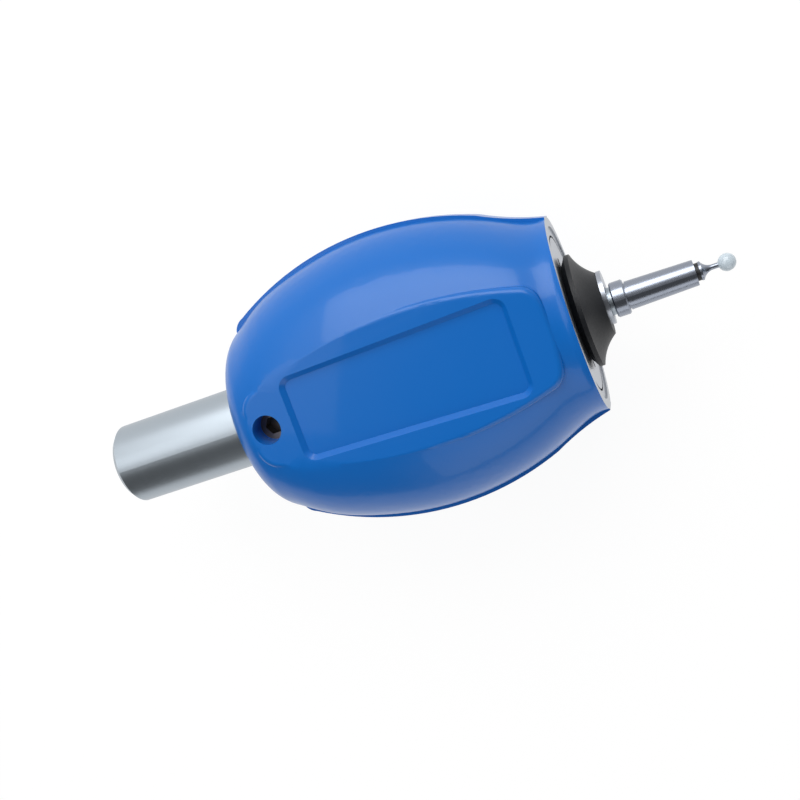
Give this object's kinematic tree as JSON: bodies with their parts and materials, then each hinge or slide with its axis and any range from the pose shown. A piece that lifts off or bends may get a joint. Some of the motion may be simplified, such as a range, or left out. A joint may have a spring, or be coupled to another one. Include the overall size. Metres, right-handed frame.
{
  "type": "edge finder",
  "caption": "Dial edge finder: a ball stylus on a sprung, tilting probe arm drives a dial movement in a lacquered barrel housing with a plain round shank.",
  "frame": {"origin": "centre of the shank's free end face", "axes": "+X along the spindle axis from the shank to the ball, +Z out of the flat back land, the dial faces -Z"},
  "size_m": [0.155, 0.0678, 0.052],
  "materials": {
    "blue_lacquer": "gloss lacquer over cast aluminium",
    "ground_steel": "ground, hardened steel",
    "black_steel": "blackened steel",
    "turned_steel": "fine turned steel",
    "polished_steel": "polished steel",
    "black_rubber": "matte moulded rubber",
    "dark_collar": "matte dark collar",
    "ball_ceramic": "polished ceramic ball",
    "brass": "lapped brass",
    "spring_steel": "drawn spring steel",
    "dial_white": "white printed aluminium",
    "black_anodised": "black anodised",
    "pointer_black": "matte black lacquer",
    "crystal_clear": "clear flat crystal"
  },
  "bodies": {
    "case": {"housing": "blue_lacquer", "shank": "ground_steel", "shank_screw": "black_steel", "runout_screws": "black_steel", "nose_cover": "turned_steel", "boot": "black_rubber", "gimbal_carrier": "turned_steel", "carrier_pins": "ground_steel", "spindle_bush": "brass", "return_spring": "spring_steel", "hairspring": "spring_steel", "back_plate": "brass", "front_plate": "brass", "pillars": "brass", "movement_screws": "ground_steel", "dial_plate": "dial_white", "dial_spacer": "black_anodised", "crystal": "crystal_clear", "crystal_seal": "black_rubber", "bezel": "black_anodised"},
    "tilt_ring": {"gimbal_ring": "turned_steel", "ring_pins": "ground_steel"},
    "tilt_sleeve": {"gimbal_sleeve": "turned_steel"},
    "probe": {"probe_arm": "ground_steel", "boot_washer": "turned_steel", "lock_collar": "polished_steel", "stylus_sleeve": "polished_steel", "break_collar": "dark_collar", "stylus_stem": "polished_steel", "stylus_ball": "ball_ceramic"},
    "plunger": {"rack_spindle": "ground_steel", "transfer_ball": "polished_steel"},
    "rack_gear": {"rack_arbor": "ground_steel", "rack_wheel": "brass", "small_pointer": "pointer_black"},
    "centre_gear": {"centre_arbor": "ground_steel", "main_pointer": "pointer_black"},
    "takeup_gear": {"takeup_arbor": "ground_steel", "takeup_wheel": "brass"}
  },
  "joints": [
    {"name": "tilt_y", "type": "hinge", "parent": "case", "child": "tilt_ring", "pos_m": [0.1073, 0, 0], "axis": [0, 1, 0], "range_deg": [-4, 4], "stiffness_Nm_per_rad": 2, "deforming": ["boot"]},
    {"name": "tilt_z", "type": "hinge", "parent": "tilt_ring", "child": "tilt_sleeve", "pos_m": [0.1073, 0, 0], "axis": [0, 0, 1], "range_deg": [-4, 4], "stiffness_Nm_per_rad": 2, "deforming": ["boot"]},
    {"name": "probe_slide", "type": "slide", "parent": "tilt_sleeve", "child": "probe", "axis": [-1, 0, 0], "range_m": [0, 0.004], "stiffness_N_per_m": 500, "springref_m": -0.004, "deforming": ["boot"]},
    {"name": "plunger_slide", "type": "slide", "parent": "case", "child": "plunger", "axis": [-1, 0, 0], "range_m": [0, 0.004], "deforming": ["return_spring"]},
    {"name": "rack_turn", "type": "hinge", "parent": "case", "child": "rack_gear", "pos_m": [0.0675, 0.00309, 0], "axis": [0, 0, 1], "range_deg": [-145, 1]},
    {"name": "centre_turn", "type": "hinge", "parent": "case", "child": "centre_gear", "pos_m": [0.078, 0, 0], "axis": [0, 0, 1], "range_deg": [-1, 1441]},
    {"name": "takeup_turn", "type": "hinge", "parent": "case", "child": "takeup_gear", "pos_m": [0.08857, 0.00283, 0], "axis": [0, 0, 1], "range_deg": [-145, 1], "deforming": ["hairspring"]}
  ],
  "couplings": [
    {"joint": "plunger_slide", "follows": "probe_slide", "ratio": 1},
    {"joint": "rack_turn", "follows": "probe_slide", "rad_per_m": -628.32},
    {"joint": "centre_turn", "follows": "probe_slide", "rad_per_m": 6283.2},
    {"joint": "takeup_turn", "follows": "probe_slide", "rad_per_m": -628.32}
  ]
}
